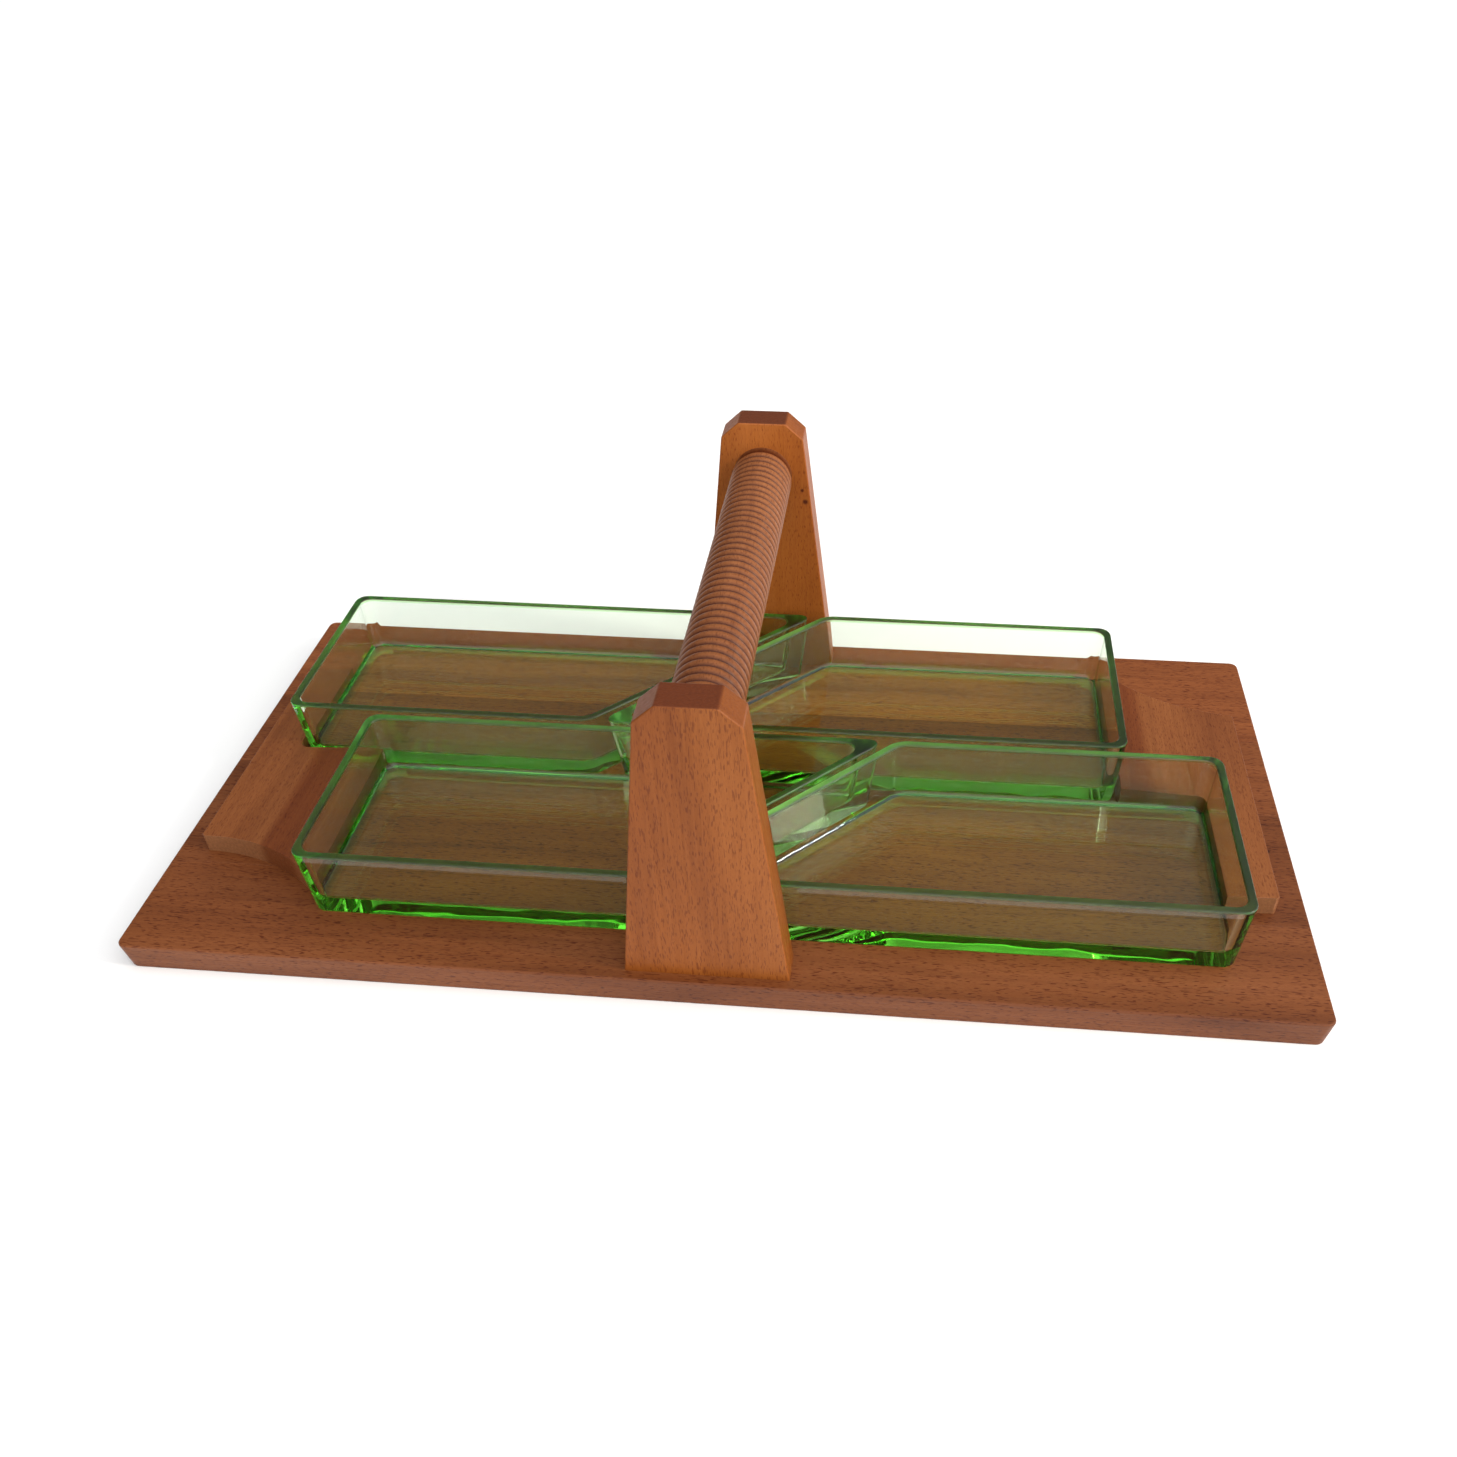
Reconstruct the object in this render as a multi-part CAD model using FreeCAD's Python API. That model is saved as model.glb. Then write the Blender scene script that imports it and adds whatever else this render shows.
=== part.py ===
"""Hors-d'oeuvre carrier: a beech board with two uprights, a turned grip and four glass dishes.

Millimetres. +X runs along the board, +Y to its back edge, +Z up.
The origin is the middle of the board's underside.
Each row of two dishes sits between the two end blocks. The back row is the front row turned
half a turn about +Z, and so are the uprights and the end blocks.
"""
import FreeCAD
import Part
import math
import os

Vector = FreeCAD.Vector
Z_AXIS = Vector(0, 0, 1)

# Pressed-glass dish: a right trapezoid in plan, measured over the rim
dish_long_side = 243.5
dish_short_side = 145.0
dish_width = 98.5
dish_height = 34.0
dish_draft = 2.0              # the walls lean out by this much from base to rim
dish_wall = 3.4
dish_floor = 7.0
dish_floor_fillet = 4.5       # inside, between floor and walls
dish_outer_corners = (6.0, 12.0, 4.0, 6.0)      # square, obtuse, acute, square
dish_hollow_corners = (5.5, 8.5, 5.5, 5.5)
dish_foot_chamfer = 1.2

# How the dishes stand on the board
dish_gap = 3.0                # between neighbouring rims
row_stagger = 41.0            # how far the front row sits to the right of the back row

# Board: edge-glued staves running along X
board_thickness = 14.0
board_side_margin = 5.0       # outside each upright
board_end_margin = 13.7       # outside each end block
board_undercut = 1.5          # the edges lean in by this much at the underside
board_corner_radius = 4.0
board_top_easing = 1.2
stave_widths = (53.0, 72.0, 55.0)    # from the front; the last stave takes what is left

# End blocks: stepped inner edge, hollow-curved ends, top falling towards the outer edge
block_clearance = 0.8         # to the dish wall, at the height of the block's inner edge
block_shoulder = 19.9         # width of the narrow arm
block_inner_height = 12.5
block_outer_height = 9.0
block_end_setback = 35.5      # from the row's outer rim to the block's outer corner
block_end_arc = 85.0
block_step_radius = 5.0
block_top_easing = 0.8

# Uprights: tapered, with clipped top corners
upright_clearance = 5.0       # from the rims of the row to the inner face
upright_thickness = 15.0
upright_height = 135.0
upright_base_width = 68.0
upright_top_width = 37.5      # where the sides would meet the top, before the corners are clipped
upright_clip = 7.5

# Turned grip, let into both uprights
grip_diameter = 29.0
grip_below_top = 26.0         # from the uprights' top down to the grip's axis
grip_ring_pitch = 4.8
grip_groove_width = 1.6
grip_groove_depth = 1.0
grip_end_land = 1.5
spigot_diameter = 18.0
spigot_length = 9.0
spigot_side_clearance = 0.1
spigot_end_clearance = 1.0

# Countersunk slotted wood screws, driven from below
screw_recess = 0.4
screw_slot_width = 1.0
screw_slot_depth = 1.0
upright_screw = {"length": 38.0, "shank": 4.0, "head": 8.0}
upright_screw_spacing = 36.0
block_screw = {"length": 20.0, "shank": 3.5, "head": 7.0}
block_screw_y = 45.0

# Places that follow from the sizes above
slant_length = math.hypot(dish_long_side - dish_short_side, dish_width)
slant_gap_x = dish_gap * slant_length / dish_width
row_length = dish_long_side + dish_short_side + slant_gap_x
row_inner_y = dish_gap / 2
row_outer_y = row_inner_y + dish_width
near_end_x = (row_length - row_stagger) / 2
far_end_x = (row_length + row_stagger) / 2
lean_above_block = dish_draft * (dish_height - block_inner_height) / dish_height
block_long_arm_x = near_end_x - lean_above_block + block_clearance
block_short_arm_x = far_end_x - lean_above_block + block_clearance
block_outer_x = block_short_arm_x + block_shoulder
block_end_y = row_outer_y - block_end_setback
upright_inner_y = row_outer_y + upright_clearance
upright_outer_y = upright_inner_y + upright_thickness
board_length = 2 * (block_outer_x + board_end_margin)
board_width = 2 * (upright_outer_y + board_side_margin)
grip_z = board_thickness + upright_height - grip_below_top


def line(start, end):
    """A straight edge."""
    return Part.LineSegment(start, end).toShape()


def corner_directions(points, index):
    """Unit vectors along the sides that arrive at and leave one corner."""
    corner = points[index]
    arriving = (corner - points[index - 1]).normalize()
    leaving = (points[(index + 1) % len(points)] - corner).normalize()
    return arriving, leaving


def rounded_outline(corners, radii, z):
    """A closed wire at height z through (x, y) corners in anticlockwise order, each rounded."""
    points = [Vector(x, y, z) for x, y in corners]
    bends = []
    for index, (corner, radius) in enumerate(zip(points, radii)):
        arriving, leaving = corner_directions(points, index)
        half_angle = (math.pi - arriving.getAngle(leaving)) / 2
        inward = (leaving - arriving).normalize()
        reach = radius / math.tan(half_angle)
        middle = corner + inward * (radius / math.sin(half_angle) - radius)
        bends.append((corner - arriving * reach, middle, corner + leaving * reach))
    edges = []
    for index, (start, middle, end) in enumerate(bends):
        edges.append(line(bends[index - 1][2], start))
        edges.append(Part.Arc(start, middle, end).toShape())
    return Part.Wire(edges)


def inset_corners(corners, inset):
    """The corners of a convex outline after each side has moved in by the same distance."""
    points = [Vector(x, y, 0) for x, y in corners]
    moved = []
    for index, corner in enumerate(points):
        arriving, leaving = corner_directions(points, index)
        normals = Z_AXIS.cross(arriving) + Z_AXIS.cross(leaving)
        shift = normals * (2 * inset / normals.dot(normals))
        moved.append((corner.x + shift.x, corner.y + shift.y))
    return moved


def prism(points, direction):
    """A solid swept from a closed outline of straight sides."""
    return Part.Face(Part.makePolygon(points + points[:1])).extrude(direction)


def half_turn(shape):
    """A copy turned half a turn about the board's middle."""
    turned = shape.copy()
    turned.rotate(Vector(0, 0, 0), Z_AXIS, 180)
    return turned


def dish_outline(inset, radii, z):
    """The dish in plan, inset from its rim's outer edge, with the square end at x = 0."""
    corners = [(0, 0), (dish_short_side, 0), (dish_long_side, dish_width), (0, dish_width)]
    return rounded_outline(inset_corners(corners, inset), radii, z)


def wall_lean(z):
    """How far the dish's wall stands inside its rim at height z."""
    return dish_draft * (dish_height - z) / dish_height


def make_dish():
    """One dish that stands on z = 0, its drafted walls rising from a thick floor."""
    foot_outline = dish_outline(wall_lean(dish_foot_chamfer), dish_outer_corners, dish_foot_chamfer)
    walls = Part.makeLoft([foot_outline, dish_outline(0, dish_outer_corners, dish_height)], True, True)
    base_outline = dish_outline(dish_draft + dish_foot_chamfer, dish_outer_corners, 0)
    foot = Part.makeLoft([base_outline, foot_outline], True, True)
    floor_outline = dish_outline(dish_wall + wall_lean(dish_floor), dish_hollow_corners, dish_floor)
    hollow_rim = dish_outline(dish_wall, dish_hollow_corners, dish_height)
    hollow = Part.makeLoft([floor_outline, hollow_rim], True, True)
    floor_edges = [edge for edge in hollow.Edges if edge.BoundBox.ZMax < dish_floor + 1e-3]
    hollow = hollow.makeFillet(dish_floor_fillet, floor_edges)
    return walls.fuse(foot).cut(hollow)


def place_dishes():
    """The four dishes on the board: two per row, square ends outwards."""
    dish = make_dish()
    front_left = dish.copy()
    front_left.translate(Vector(-near_end_x, -row_outer_y, board_thickness))
    front_right = dish.copy()
    front_right.rotate(Vector(0, 0, 0), Z_AXIS, 180)
    front_right.translate(Vector(far_end_x, -row_inner_y, board_thickness))
    return {
        "dish_front_left": front_left,
        "dish_front_right": front_right,
        "dish_back_left": half_turn(front_right),
        "dish_back_right": half_turn(front_left),
    }


def make_board_blank():
    """The whole board, before it is parted along its glue lines."""
    half_x = board_length / 2
    half_y = board_width / 2
    corners = [(-half_x, -half_y), (half_x, -half_y), (half_x, half_y), (-half_x, half_y)]
    radii = [board_corner_radius] * len(corners)
    underside = rounded_outline(inset_corners(corners, board_undercut), radii, 0)
    blank = Part.makeLoft([underside, rounded_outline(corners, radii, board_thickness)], True, True)
    top_edges = [edge for edge in blank.Edges if edge.BoundBox.ZMin > board_thickness - 1e-3]
    return blank.makeFillet(board_top_easing, top_edges)


def make_staves(screw_holes):
    """The board as separate staves, each drilled for the screws that pass through it."""
    blank = make_board_blank()
    staves = {}
    front_y = -board_width / 2
    widths = list(stave_widths) + [board_width - sum(stave_widths)]
    for number, width in enumerate(widths, start=1):
        slab = Part.makeBox(board_length, width, board_thickness, Vector(-board_length / 2, front_y, 0))
        staves[f"board_stave_{number}"] = blank.common(slab).cut(screw_holes)
        front_y += width
    return staves


def block_end(distance):
    """How far from the middle the block's hollow end lies, at a distance in from its outer edge."""
    return block_end_y + block_end_arc - math.sqrt(block_end_arc ** 2 - distance ** 2)


def block_end_point(x, side):
    """A point of the left block's hollow end at x; side is -1 at the front and +1 at the back."""
    return Vector(x, side * block_end(block_outer_x + x), board_thickness)


def hollow_end(x_from, x_to, side):
    """The arc of one hollow end of the left block."""
    places = [x_from, (x_from + x_to) / 2, x_to]
    return Part.Arc(*[block_end_point(x, side) for x in places]).toShape()


def make_left_block(screw_holes):
    """The left end block. Its long arm ends the front row and its narrow arm ends the back row."""
    step_start = Vector(-block_long_arm_x, 0, board_thickness)
    step_corner = Vector(-block_short_arm_x, 0, board_thickness)
    bend_start = step_corner + Vector(block_step_radius, 0, 0)
    bend_end = step_corner + Vector(0, block_step_radius, 0)
    bend_reach = block_step_radius * (1 - math.sqrt(0.5))
    bend_middle = step_corner + Vector(bend_reach, bend_reach, 0)
    outline = Part.Wire([
        hollow_end(-block_outer_x, -block_long_arm_x, -1),
        line(block_end_point(-block_long_arm_x, -1), step_start),
        line(step_start, bend_start),
        Part.Arc(bend_start, bend_middle, bend_end).toShape(),
        line(bend_end, block_end_point(-block_short_arm_x, 1)),
        hollow_end(-block_short_arm_x, -block_outer_x, 1),
        line(block_end_point(-block_outer_x, 1), block_end_point(-block_outer_x, -1)),
    ])
    blank = Part.Face(outline).extrude(Vector(0, 0, block_inner_height))
    half_y = board_width / 2
    wedge = prism([
        Vector(-block_outer_x, -half_y, board_thickness),
        Vector(-block_long_arm_x, -half_y, board_thickness),
        Vector(-block_long_arm_x, -half_y, board_thickness + block_inner_height),
        Vector(-block_outer_x, -half_y, board_thickness + block_outer_height),
    ], Vector(0, board_width, 0))
    block = blank.common(wedge)
    outer_arris = [edge for edge in block.Edges
                   if edge.BoundBox.XMax < -block_outer_x + 1e-3
                   and edge.BoundBox.ZMin > board_thickness + block_outer_height - 1e-3]
    return block.makeFillet(block_top_easing, outer_arris).cut(screw_holes)


def make_front_upright(screw_holes):
    """The front upright, drilled for its screws and bored for the grip's spigot."""
    top_z = board_thickness + upright_height
    clip_z = top_z - upright_clip
    half_base = upright_base_width / 2
    half_top = upright_top_width / 2
    half_at_clip = half_top + (half_base - half_top) * upright_clip / upright_height
    half_flat = half_top - upright_clip
    profile = [
        (-half_base, board_thickness),
        (half_base, board_thickness),
        (half_at_clip, clip_z),
        (half_flat, top_z),
        (-half_flat, top_z),
        (-half_at_clip, clip_z),
    ]
    outline = [Vector(x, -upright_outer_y, z) for x, z in profile]
    plank = prism(outline, Vector(0, upright_thickness, 0))
    bore_length = spigot_length + spigot_end_clearance
    bore_start = Vector(0, -upright_inner_y - bore_length, grip_z)
    bore_radius = spigot_diameter / 2 + spigot_side_clearance
    bore = Part.makeCylinder(bore_radius, bore_length, bore_start, Vector(0, 1, 0))
    return plank.cut(bore).cut(screw_holes)


def make_grip():
    """The turned grip: V grooves at an even pitch between two spigots."""
    radius = grip_diameter / 2
    spigot_radius = spigot_diameter / 2
    half_span = upright_inner_y
    groove_count = int((2 * (half_span - grip_end_land) - grip_groove_width) / grip_ring_pitch) + 1
    first_groove = -(groove_count - 1) * grip_ring_pitch / 2
    profile = [
        (0, -half_span - spigot_length),
        (spigot_radius, -half_span - spigot_length),
        (spigot_radius, -half_span),
        (radius, -half_span),
    ]
    for number in range(groove_count):
        middle = first_groove + number * grip_ring_pitch
        profile.append((radius, middle - grip_groove_width / 2))
        profile.append((radius - grip_groove_depth, middle))
        profile.append((radius, middle + grip_groove_width / 2))
    profile.extend([
        (radius, half_span),
        (spigot_radius, half_span),
        (spigot_radius, half_span + spigot_length),
        (0, half_span + spigot_length),
    ])
    points = [Vector(x, y, grip_z) for x, y in profile]
    face = Part.Face(Part.makePolygon(points + points[:1]))
    return face.revolve(Vector(0, 0, grip_z), Vector(0, 1, 0), 360)


def screw_body(screw, x, y):
    """A countersunk screw without its slot, head down, also used to drill its hole."""
    head = screw["head"] / 2
    shank = screw["shank"] / 2
    tip_z = screw_recess + screw["length"]
    profile = [
        (0, screw_recess),
        (head, screw_recess),
        (shank, screw_recess + head - shank),
        (shank, tip_z - shank * 2),
        (0, tip_z),
    ]
    points = [Vector(x + radius, y, z) for radius, z in profile]
    return Part.Face(Part.makePolygon(points + points[:1])).revolve(Vector(x, y, 0), Z_AXIS, 360)


def make_screws(screw, places):
    """The screws at the given places, and the holes that they and their recesses take up."""
    bodies = [screw_body(screw, x, y) for x, y in places]
    recesses = [Part.makeCylinder(screw["head"] / 2, screw_recess, Vector(x, y, 0)) for x, y in places]
    slotted = []
    for body, (x, y) in zip(bodies, places):
        corner = Vector(x - screw["head"], y - screw_slot_width / 2, screw_recess)
        slotted.append(body.cut(Part.makeBox(screw["head"] * 2, screw_slot_width, screw_slot_depth, corner)))
    return Part.makeCompound(slotted), Part.makeCompound(bodies + recesses)


def save(name, shape):
    """Write one piece to its own STEP file."""
    solids = shape.Solids
    whole = solids[0] if len(solids) == 1 else Part.makeCompound(solids)
    if not solids or not all(solid.isValid() for solid in solids):
        raise ValueError(f"{name} is not a valid solid")
    whole.exportStep(f"parts/{name}.step")


def main():
    """Build every piece in its place and write it out."""
    upright_middle_y = (upright_inner_y + upright_outer_y) / 2
    upright_places = [
        (side_x * upright_screw_spacing / 2, side_y * upright_middle_y)
        for side_x in (-1, 1) for side_y in (-1, 1)
    ]
    narrow_x = block_outer_x - block_shoulder / 2
    long_arm_middle_x = (block_long_arm_x + block_short_arm_x) / 2
    block_places = []
    for side in (-1, 1):
        block_places.append((side * narrow_x, -block_screw_y))
        block_places.append((side * narrow_x, block_screw_y))
        block_places.append((side * long_arm_middle_x, side * block_screw_y))
    upright_screws, upright_holes = make_screws(upright_screw, upright_places)
    block_screws, block_holes = make_screws(block_screw, block_places)
    screw_holes = Part.makeCompound([upright_holes, block_holes])

    pieces = make_staves(screw_holes)
    pieces["end_block_left"] = make_left_block(screw_holes)
    pieces["end_block_right"] = half_turn(pieces["end_block_left"])
    pieces["upright_front"] = make_front_upright(screw_holes)
    pieces["upright_back"] = half_turn(pieces["upright_front"])
    pieces["grip"] = make_grip()
    pieces["upright_screws"] = upright_screws
    pieces["block_screws"] = block_screws
    pieces.update(place_dishes())

    os.makedirs("parts", exist_ok=True)
    for name, shape in pieces.items():
        save(name, shape)


main()
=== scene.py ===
import bpy
import bmesh
import math
from mathutils import Matrix, Vector


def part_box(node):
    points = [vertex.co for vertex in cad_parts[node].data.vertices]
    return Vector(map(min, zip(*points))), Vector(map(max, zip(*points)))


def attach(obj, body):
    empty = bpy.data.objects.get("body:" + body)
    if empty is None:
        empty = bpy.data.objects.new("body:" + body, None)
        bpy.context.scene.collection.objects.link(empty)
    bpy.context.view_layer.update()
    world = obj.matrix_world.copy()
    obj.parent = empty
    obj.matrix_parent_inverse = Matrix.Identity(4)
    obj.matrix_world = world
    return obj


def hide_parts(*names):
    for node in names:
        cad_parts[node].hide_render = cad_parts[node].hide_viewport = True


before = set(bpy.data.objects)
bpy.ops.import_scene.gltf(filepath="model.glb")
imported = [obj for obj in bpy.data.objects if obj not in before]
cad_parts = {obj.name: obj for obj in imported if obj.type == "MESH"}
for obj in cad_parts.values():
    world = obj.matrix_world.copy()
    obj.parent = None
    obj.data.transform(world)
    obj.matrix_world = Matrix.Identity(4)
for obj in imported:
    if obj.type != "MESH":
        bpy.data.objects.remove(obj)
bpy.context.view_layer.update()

# ---------------------------------------------------------------- camera
# A standing person's view of the carrier on a table, from in front and a little to the right.
camera_data = bpy.data.cameras.new("camera")
camera_data.lens = 32.15
camera_data.shift_x = -0.0499
camera_data.shift_y = 0.0514
camera = bpy.data.objects.new("camera", camera_data)
camera.location = (0.0738, -0.4709, 0.4119)
camera.rotation_euler = (math.radians(49.353), math.radians(0.390), math.radians(5.283))
bpy.context.scene.collection.objects.link(camera)
bpy.context.scene.camera = camera

# ---------------------------------------------------------------- room
# A plain white table top in a pale room, with soft daylight mostly from the front and the right.
# One panel stands for the nearest window. The other is a low light behind, which lights the wood
# but doesn't show in reflections or in the glass.
scene = bpy.context.scene
scene.view_settings.view_transform = "Standard"
scene.cycles.max_bounces = 24
scene.cycles.glossy_bounces = 16
scene.cycles.transmission_bounces = 20
DAYLIGHT_FROM = (0.50, -0.55, 0.67)
DIM_SIDE = 0.18
BRIGHT_SIDE = 2.0
PLAIN_WHITE = (1.0, 1.0, 1.0)
WINDOW_COLOUR = (1.0, 0.95, 0.84)
TABLE_SIZE = 12.0
TABLE_MIDDLE = (0.0, 0.0, 0.05)


def new_material(name):
    """An empty node material with its tree, output and a Principled shader."""
    material = bpy.data.materials.new(name)
    material.use_nodes = True
    tree = material.node_tree
    tree.nodes.clear()
    output = tree.nodes.new("ShaderNodeOutputMaterial")
    shader = tree.nodes.new("ShaderNodeBsdfPrincipled")
    tree.links.new(shader.outputs["BSDF"], output.inputs["Surface"])
    return material, tree, shader, output


world = bpy.data.worlds.new("pale_room")
world.use_nodes = True
room, room_link = world.node_tree.nodes, world.node_tree.links.new
background = room["Background"]
direction = room.new("ShaderNodeTexCoord")
towards_day = room.new("ShaderNodeVectorMath")
towards_day.operation = "DOT_PRODUCT"
towards_day.inputs[1].default_value = DAYLIGHT_FROM
room_link(direction.outputs["Generated"], towards_day.inputs[0])
falloff = room.new("ShaderNodeMapRange")
falloff.interpolation_type = "SMOOTHSTEP"
falloff.inputs["From Min"].default_value = -0.05
falloff.inputs["From Max"].default_value = 0.95
falloff.inputs["To Min"].default_value = DIM_SIDE
falloff.inputs["To Max"].default_value = BRIGHT_SIDE
room_link(towards_day.outputs["Value"], falloff.inputs["Value"])
seen_directly = room.new("ShaderNodeLightPath")
brightness = room.new("ShaderNodeMix")
brightness.inputs["B"].default_value = 1.0
room_link(seen_directly.outputs["Is Camera Ray"], brightness.inputs["Factor"])
room_link(falloff.outputs["Result"], brightness.inputs["A"])
room_link(brightness.outputs["Result"], background.inputs["Strength"])
background.inputs["Color"].default_value = (*PLAIN_WHITE, 1.0)
scene.world = world

floor_mesh = bpy.data.meshes.new("table_top")
floor_bm = bmesh.new()
bmesh.ops.create_grid(floor_bm, x_segments=1, y_segments=1, size=TABLE_SIZE)
floor_bm.to_mesh(floor_mesh)
floor_bm.free()
table_top = bpy.data.objects.new("table_top", floor_mesh)
scene.collection.objects.link(table_top)
floor_material, _, floor_shader, _ = new_material("table_white")
floor_shader.inputs["Base Color"].default_value = (0.92, 0.92, 0.92, 1.0)
floor_shader.inputs["Roughness"].default_value = 0.8
table_top.data.materials.append(floor_material)


def soft_panel(name, place, size, power, colour):
    """A square light panel that faces the middle of the table."""
    data = bpy.data.lights.new(name, "AREA")
    data.size = size
    data.energy = power
    data.color = colour
    lamp = bpy.data.objects.new(name, data)
    lamp.location = place
    towards_table = Vector(TABLE_MIDDLE) - Vector(place)
    lamp.rotation_euler = towards_table.to_track_quat("-Z", "Y").to_euler()
    scene.collection.objects.link(lamp)
    return lamp


rear_fill = soft_panel("rear_fill", (-0.9, 1.9, 0.7), size=1.7, power=5.0, colour=PLAIN_WHITE)
rear_fill.visible_glossy = False
rear_fill.visible_transmission = False
soft_panel("right_window", (1.5, -0.35, 1.0), size=0.22, power=14.0, colour=WINDOW_COLOUR)

# ---------------------------------------------------------------- board
# Four edge-glued beech staves, planed flat, with the outer edges leaning in underneath and the
# top arris eased. Two screws for each upright and three for each end block pass up through it.
stave_names = [f"board_stave_{number}" for number in range(1, 5)]
board_low = Vector(map(min, *[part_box(name)[0] for name in stave_names]))
board_high = Vector(map(max, *[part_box(name)[1] for name in stave_names]))
EDGE_LEAN = 0.0015
CORNER_RADIUS = 0.004
TOP_ARRIS = 0.0012
UNDER_ARRIS = 0.0005
GLUE_LINE_ARRIS = 0.00012
SHARP_ANGLE = math.radians(32)
CLEARLY_BENT = 0.6

# the colour sockets of a Mix node
MIX_FIRST, MIX_SECOND, MIX_RESULT = 6, 7, 2

# how often each feature of beech comes in a metre, along and across the fibres
FIGURE_COUNTS = (3.5, 34.0)
PATCH_COUNTS = (9.0, 14.0)
FIBRE_COUNTS = (22.0, 900.0)
PORE_COUNTS = (520.0, 3600.0)
FLECK_COUNTS = (380.0, 2500.0)
GROWTH_LINE_COUNTS = (4.0, 20.0)
END_SPECKLE_COUNTS = (900.0, 900.0)
BEECH_ROUGHNESS = 0.42
BEECH_SPECULAR = 0.22


def beech(name, grain, tones, end, shift, flecks=0.65):
    """Varnished beech in a light, a middle and a dark tone. grain is the axis along the fibres,
    end the tone of the end grain, and shift moves the figure from piece to piece."""
    material, tree, shader, _ = new_material(name)
    nodes, links = tree.nodes, tree.links
    light, mid, dark = tones
    coordinates = nodes.new("ShaderNodeTexCoord")

    def stretched(counts, offset):
        """Object coordinates scaled so that a noise of scale 1 has those counts per metre."""
        along, across = counts
        mapping = nodes.new("ShaderNodeMapping")
        scale = [across, across, across]
        scale["XYZ".index(grain)] = along
        mapping.inputs["Scale"].default_value = scale
        mapping.inputs["Location"].default_value = [value + offset for value in shift]
        links.new(coordinates.outputs["Object"], mapping.inputs["Vector"])
        return mapping.outputs["Vector"]

    def noise(vector, detail, distortion=0.0):
        node = nodes.new("ShaderNodeTexNoise")
        node.inputs["Scale"].default_value = 1.0
        node.inputs["Detail"].default_value = detail
        node.inputs["Roughness"].default_value = 0.5
        node.inputs["Distortion"].default_value = distortion
        links.new(vector, node.inputs["Vector"])
        return node.outputs["Fac"]

    def ramp(source, stops):
        node = nodes.new("ShaderNodeValToRGB")
        while len(node.color_ramp.elements) < len(stops):
            node.color_ramp.elements.new(0.5)
        for element, (position, colour) in zip(node.color_ramp.elements, stops):
            element.position = position
            element.color = (*colour, 1.0)
        links.new(source, node.inputs["Fac"])
        return node.outputs["Color"]

    def mix(factor, first, second, blend="MIX"):
        node = nodes.new("ShaderNodeMix")
        node.data_type = "RGBA"
        node.blend_type = blend
        if isinstance(factor, float):
            node.inputs["Factor"].default_value = factor
        else:
            links.new(factor, node.inputs["Factor"])
        for socket, value in ((MIX_FIRST, first), (MIX_SECOND, second)):
            target = node.inputs[socket]
            if isinstance(value, tuple):
                target.default_value = (*value, 1.0)
            else:
                links.new(value, target)
        return node.outputs[MIX_RESULT]

    def grey(value):
        return (value, value, value)

    # broad growth figure and patches, then fine fibres, pores and the short dark ray flecks
    figure = noise(stretched(FIGURE_COUNTS, 0.0), 3.0, 0.6)
    fibre = noise(stretched(FIBRE_COUNTS, 3.0), 2.0, 0.1)
    pores = noise(stretched(PORE_COUNTS, 7.0), 1.0)
    fleck = noise(stretched(FLECK_COUNTS, 11.0), 0.0)
    patch = noise(stretched(PATCH_COUNTS, 5.0), 1.0)

    colour = ramp(figure, [(0.30, dark), (0.50, mid), (0.72, light)])
    colour = mix(0.35, colour, ramp(fibre, [(0.25, dark), (0.55, mid), (0.8, light)]))
    patch_shade = ramp(patch, [(0.35, grey(0.86)), (0.65, grey(1.1))])
    colour = mix(0.5, colour, patch_shade, "MULTIPLY")
    pore_shade = ramp(pores, [(0.30, (0.82, 0.74, 0.70)), (0.46, grey(1.0))])
    colour = mix(0.7, colour, pore_shade, "MULTIPLY")
    rings = nodes.new("ShaderNodeTexWave")
    rings.bands_direction = "X" if grain == "Y" else "Y"
    rings.inputs["Scale"].default_value = 1.0
    rings.inputs["Distortion"].default_value = 9.0
    rings.inputs["Detail"].default_value = 2.0
    rings.inputs["Detail Scale"].default_value = 0.8
    links.new(stretched(GROWTH_LINE_COUNTS, 2.0), rings.inputs["Vector"])
    line_shade = ramp(rings.outputs["Fac"], [(0.86, grey(1.0)), (0.98, (0.62, 0.52, 0.45))])
    colour = mix(0.25, colour, line_shade, "MULTIPLY")
    fleck_shade = ramp(fleck, [(0.29, (0.48, 0.32, 0.20)), (0.38, grey(1.0))])
    colour = mix(flecks, colour, fleck_shade, "MULTIPLY")

    # end grain shows darker and closer where a face cuts across the fibres
    facing = nodes.new("ShaderNodeSeparateXYZ")
    links.new(coordinates.outputs["Normal"], facing.inputs["Vector"])
    across_fibres = nodes.new("ShaderNodeMath")
    across_fibres.operation = "ABSOLUTE"
    links.new(facing.outputs[grain], across_fibres.inputs[0])
    end_mask = nodes.new("ShaderNodeMath")
    end_mask.operation = "POWER"
    end_mask.inputs[1].default_value = 4.0
    links.new(across_fibres.outputs[0], end_mask.inputs[0])
    end_speckle = noise(stretched(END_SPECKLE_COUNTS, 17.0), 2.0)
    end_shade = ramp(end_speckle, [(0.3, grey(0.7)), (0.7, grey(1.15))])
    colour = mix(end_mask.outputs[0], colour, mix(0.6, end, end_shade, "MULTIPLY"))
    links.new(colour, shader.inputs["Base Color"])

    dull, shiny = grey(BEECH_ROUGHNESS + 0.10), grey(BEECH_ROUGHNESS - 0.06)
    links.new(ramp(fibre, [(0.2, dull), (0.8, shiny)]), shader.inputs["Roughness"])
    shader.inputs["Specular IOR Level"].default_value = BEECH_SPECULAR

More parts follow.
